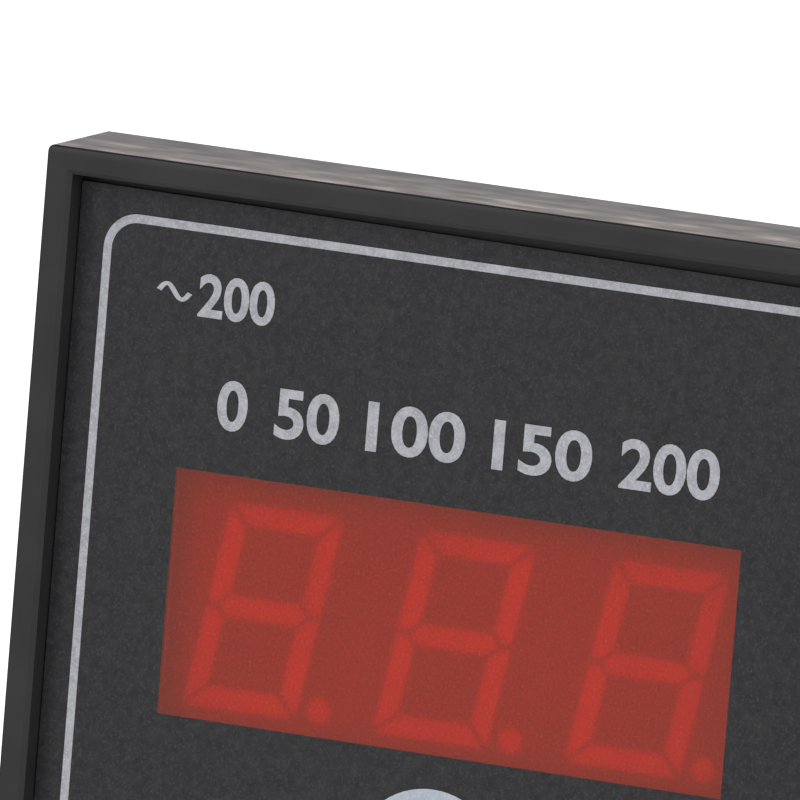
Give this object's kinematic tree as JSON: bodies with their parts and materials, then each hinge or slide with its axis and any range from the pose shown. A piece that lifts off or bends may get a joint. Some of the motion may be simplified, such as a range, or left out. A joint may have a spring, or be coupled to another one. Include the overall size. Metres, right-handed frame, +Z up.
{
  "type": "digital panel meter",
  "caption": "Square panel voltmeter with a raised rim, printed face, red window over a seven-segment display, round case behind the panel, corner studs and screw terminals.",
  "frame": {"origin": "centre of the panel seat, the rear plane of the front, on the axis of the round case", "axes": "+X to the right as the face is read, +Y rearward through the panel, +Z up"},
  "size_m": [0.0452, 0.0415, 0.0452],
  "materials": {
    "bezel_plastic": "moulded ABS, fine satin texture",
    "film_black": "fine matt polycarbonate film",
    "print_grey": "matt screen print",
    "print_white": "matt screen print",
    "window_red": "fine matt, see-through red acrylic",
    "display_grey": "potted display body",
    "segment_resin": "diffusing epoxy",
    "tinned_wire": "tinned",
    "board_green": "solder resist on glass fibre board",
    "chip_black": "moulded epoxy",
    "gold_pin": "flash gold on brass",
    "strip_black": "moulded nylon",
    "capacitor_yellow": "moulded box",
    "can_sleeve": "shrunk sleeve",
    "resistor_body": "lacquered body",
    "diode_glass": "glass body",
    "trimmer_blue": "moulded",
    "rotor_white": "moulded",
    "case_plastic": "moulded ABS, fine spark texture",
    "stud_steel": "zinc plated",
    "terminal_brass": "turned",
    "spring_steel": "zinc plated spring steel"
  },
  "bodies": {
    "housing": {"front_bezel": "bezel_plastic", "face_film": "film_black", "print_border": "print_grey", "print_disc": "print_white", "red_window": "window_red", "display_block": "display_grey", "display_segments": "segment_resin", "display_pins": "tinned_wire", "display_board": "board_green", "controller_chip": "chip_black", "chip_leads": "tinned_wire", "chip_resistors": "chip_black", "header_pins": "gold_pin", "header_strips": "strip_black", "power_board": "board_green", "film_capacitor": "capacitor_yellow", "electrolytic_capacitor": "can_sleeve", "bridge_rectifier": "chip_black", "dropper_resistor": "resistor_body", "zener_diode": "diode_glass", "component_leads": "tinned_wire", "trimmer_body": "trimmer_blue", "rear_case": "case_plastic", "panel_studs": "stud_steel", "terminal_studs": "terminal_brass", "terminal_washers": "terminal_brass", "lock_nuts": "terminal_brass", "wire_washers": "terminal_brass", "spring_washers": "spring_steel", "wire_nuts": "terminal_brass"},
    "trimmer_rotor": {"trimmer_rotor": "rotor_white"}
  },
  "joints": [
    {"name": "trimmer_turn", "type": "hinge", "parent": "housing", "child": "trimmer_rotor", "pos_m": [0, 0.021, 0.01], "axis": [0, 1, 0], "range_deg": [-135, 135]}
  ]
}
